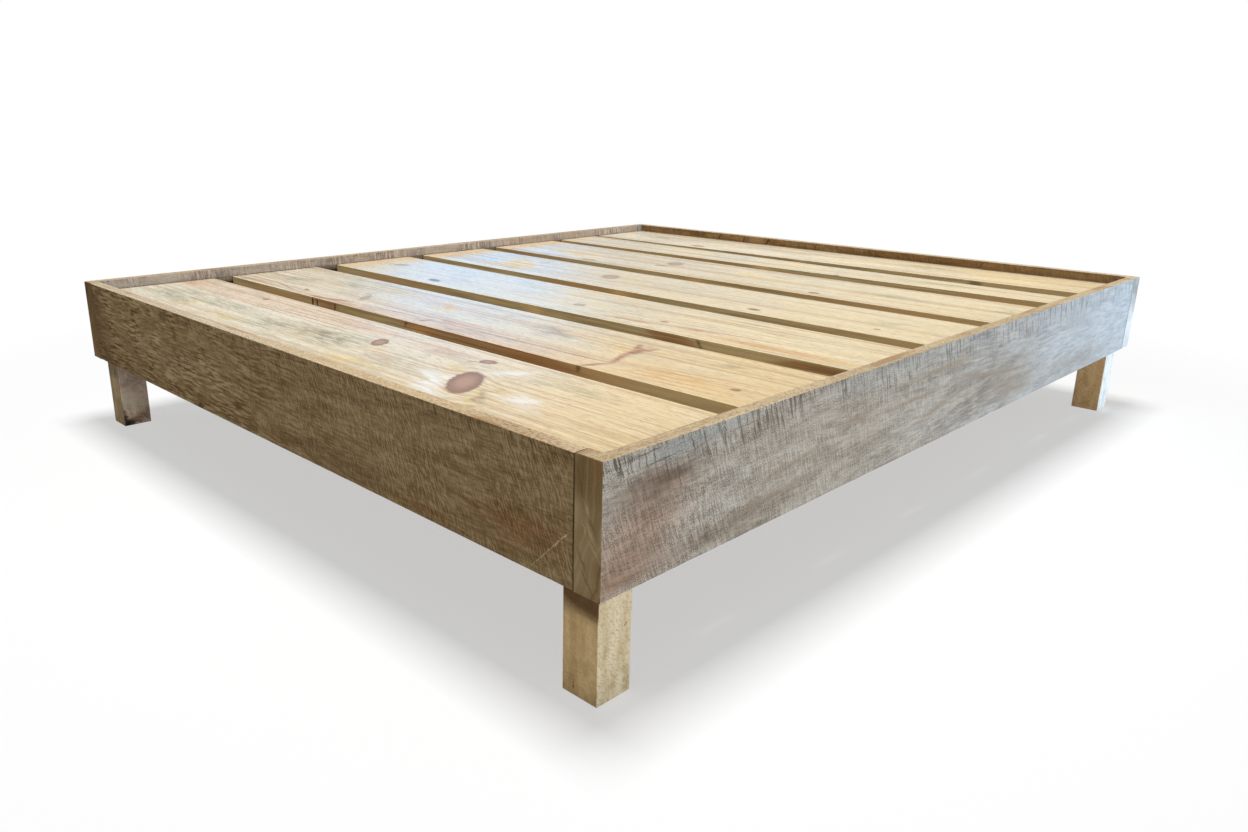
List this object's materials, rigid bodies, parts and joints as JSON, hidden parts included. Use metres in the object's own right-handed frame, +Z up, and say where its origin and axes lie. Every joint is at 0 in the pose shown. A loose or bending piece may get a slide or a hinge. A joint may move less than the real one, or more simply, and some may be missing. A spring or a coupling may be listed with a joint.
{
  "type": "bed frame",
  "caption": "Low wooden bed frame: thick rough-sawn rails on square corner legs, with wide loose slats recessed between the rails to carry a mattress.",
  "frame": {"origin": "on the floor, under the middle of the frame", "axes": "+X to the right as seen from the foot end, +Y from the foot end to the head end, +Z up"},
  "size_m": [1.65, 1.95, 0.338],
  "materials": {
    "foot_rail_wood": "rough-sawn mango, olive brown",
    "head_rail_wood": "rough-sawn mango, dark brown",
    "side_rail_wood": "rough-sawn mango, weathered grey",
    "leg_wood": "planed mango, tan",
    "slat_wood": "planed pine, satin varnish",
    "plain_pine": "planed pine, bare",
    "dowel_wood": "beech, bare",
    "zinc_steel": "zinc plated steel"
  },
  "bodies": {
    "root": {"foot_rail": "foot_rail_wood", "head_rail": "head_rail_wood", "left_side_rail": "side_rail_wood", "right_side_rail": "side_rail_wood", "foot_left_leg": "leg_wood", "foot_right_leg": "leg_wood", "head_left_leg": "leg_wood", "head_right_leg": "leg_wood", "slat_1": "slat_wood", "slat_2": "slat_wood", "slat_3": "slat_wood", "slat_4": "slat_wood", "slat_5": "slat_wood", "slat_6": "slat_wood", "slat_7": "slat_wood", "centre_beam": "plain_pine", "centre_leg": "plain_pine", "foot_beam_cleat": "plain_pine", "head_beam_cleat": "plain_pine", "centre_leg_screw_1": "zinc_steel", "centre_leg_screw_2": "zinc_steel", "foot_beam_cleat_screw_1": "zinc_steel", "foot_beam_cleat_screw_2": "zinc_steel", "head_beam_cleat_screw_1": "zinc_steel", "head_beam_cleat_screw_2": "zinc_steel", "foot_left_side_screw_1": "zinc_steel", "foot_left_side_screw_2": "zinc_steel", "foot_left_end_screw_1": "zinc_steel", "foot_left_end_screw_2": "zinc_steel", "foot_right_side_screw_1": "zinc_steel", "foot_right_side_screw_2": "zinc_steel", "foot_right_end_screw_1": "zinc_steel", "foot_right_end_screw_2": "zinc_steel", "head_left_side_screw_1": "zinc_steel", "head_left_side_screw_2": "zinc_steel", "head_left_end_screw_1": "zinc_steel", "head_left_end_screw_2": "zinc_steel", "head_right_side_screw_1": "zinc_steel", "head_right_side_screw_2": "zinc_steel", "head_right_end_screw_1": "zinc_steel", "head_right_end_screw_2": "zinc_steel", "foot_left_dowel_1": "dowel_wood", "foot_left_dowel_2": "dowel_wood", "foot_right_dowel_1": "dowel_wood", "foot_right_dowel_2": "dowel_wood", "head_left_dowel_1": "dowel_wood", "head_left_dowel_2": "dowel_wood", "head_right_dowel_1": "dowel_wood", "head_right_dowel_2": "dowel_wood"}
  },
  "joints": []
}
